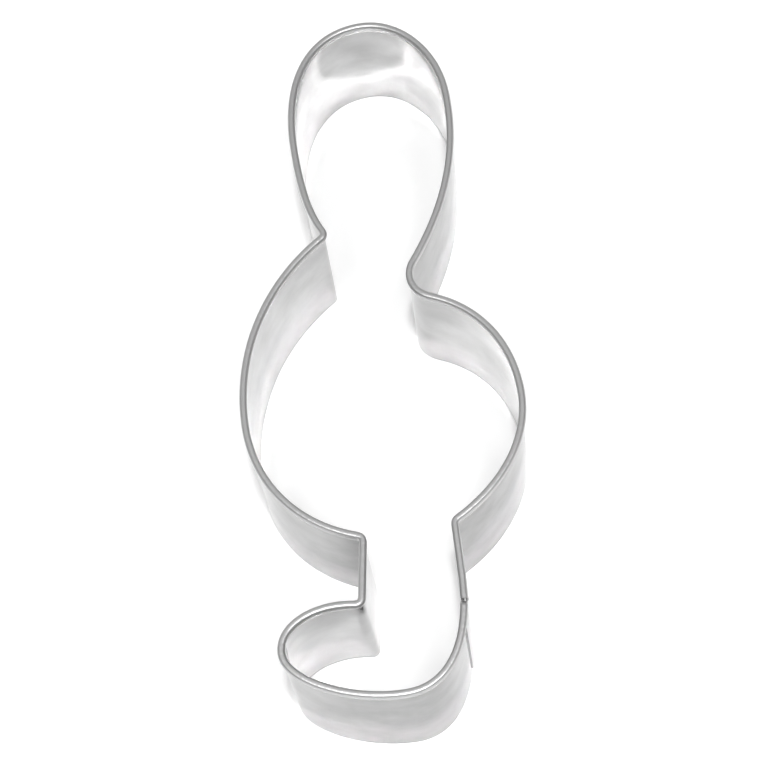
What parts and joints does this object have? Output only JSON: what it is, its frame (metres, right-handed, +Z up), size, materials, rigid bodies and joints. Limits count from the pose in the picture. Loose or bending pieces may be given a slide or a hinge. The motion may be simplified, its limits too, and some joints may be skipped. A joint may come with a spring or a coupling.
{
  "type": "cookie cutter",
  "caption": "Cookie cutter: a thin bright steel strip bent on edge into a treble clef outline, with a folded safety rim on top and a plain cutting edge below.",
  "frame": {"origin": "on the board, under the middle of the cutter's outline", "axes": "+Y along the clef from its hook to its head, +X to the right of the clef as it is read, +Z up from the cutting edge to the hemmed rim"},
  "size_m": [0.0472, 0.1302, 0.022],
  "materials": {
    "bright_steel": "bright rolled sheet, soft mirror",
    "weld_steel": "fused, matt"
  },
  "bodies": {
    "root": {"band": "bright_steel", "spot_weld_lower": "weld_steel", "spot_weld_upper": "weld_steel"}
  },
  "joints": []
}
